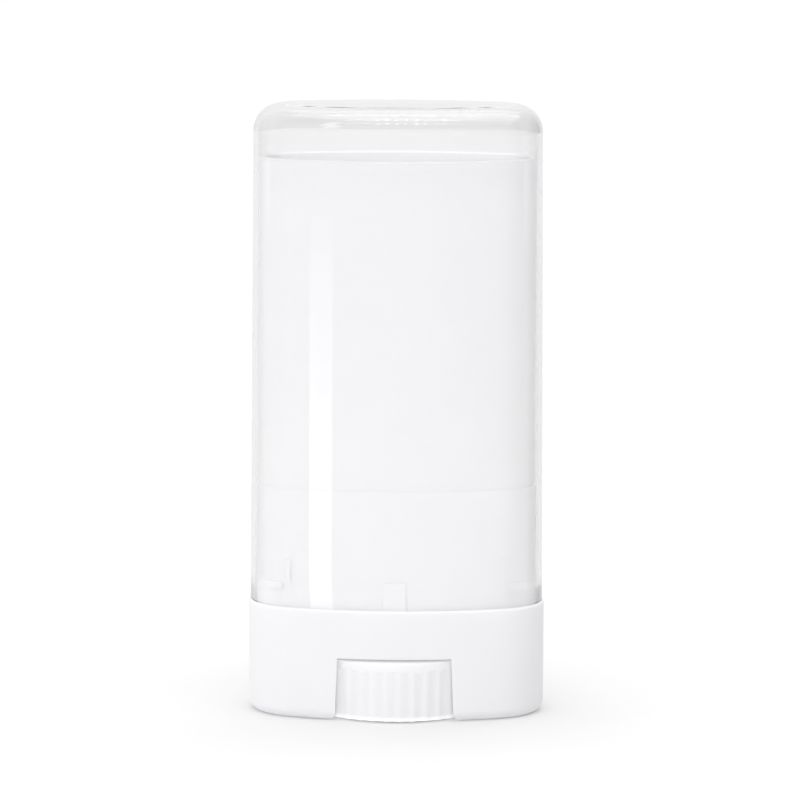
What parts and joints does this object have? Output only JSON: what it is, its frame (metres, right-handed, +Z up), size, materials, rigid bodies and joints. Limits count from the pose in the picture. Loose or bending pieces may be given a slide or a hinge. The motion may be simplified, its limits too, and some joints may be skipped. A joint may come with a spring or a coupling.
{
  "type": "solid stick dispenser",
  "caption": "Flat oval twist-up stick container: clear cap, translucent barrel with a ribbed dial in its base, and an elevator on a lead screw.",
  "frame": {"origin": "middle of the base, on the surface that the dispenser stands on", "axes": "+Z up along the dial's axis, +X along the wide side, the front with one dial window faces -Y"},
  "size_m": [0.035, 0.0206, 0.072],
  "materials": {
    "clear_cap": "polished clear styrene",
    "natural_barrel": "satin natural polypropylene, milky",
    "white_elevator": "satin white polypropylene",
    "white_spindle": "satin white polypropylene",
    "natural_dial": "satin natural polypropylene"
  },
  "bodies": {
    "barrel": {"barrel": "natural_barrel"},
    "cap": {"cap": "clear_cap"},
    "elevator": {"elevator": "white_elevator"},
    "dial": {"dial": "natural_dial", "spindle": "white_spindle"}
  },
  "joints": [
    {"name": "cap_slide", "type": "slide", "parent": "barrel", "child": "cap", "axis": [0, 0, 1], "range_m": [0, 0.058]},
    {"name": "dial_turn", "type": "hinge", "parent": "barrel", "child": "dial", "pos_m": [0, 0, 0.004], "axis": [0, 0, -1], "range_deg": [0, 3240]},
    {"name": "elevator_slide", "type": "slide", "parent": "barrel", "child": "elevator", "axis": [0, 0, 1], "range_m": [0, 0.045]}
  ],
  "couplings": [
    {"joint": "dial_turn", "follows": "elevator_slide", "rad_per_m": 1256.6}
  ]
}
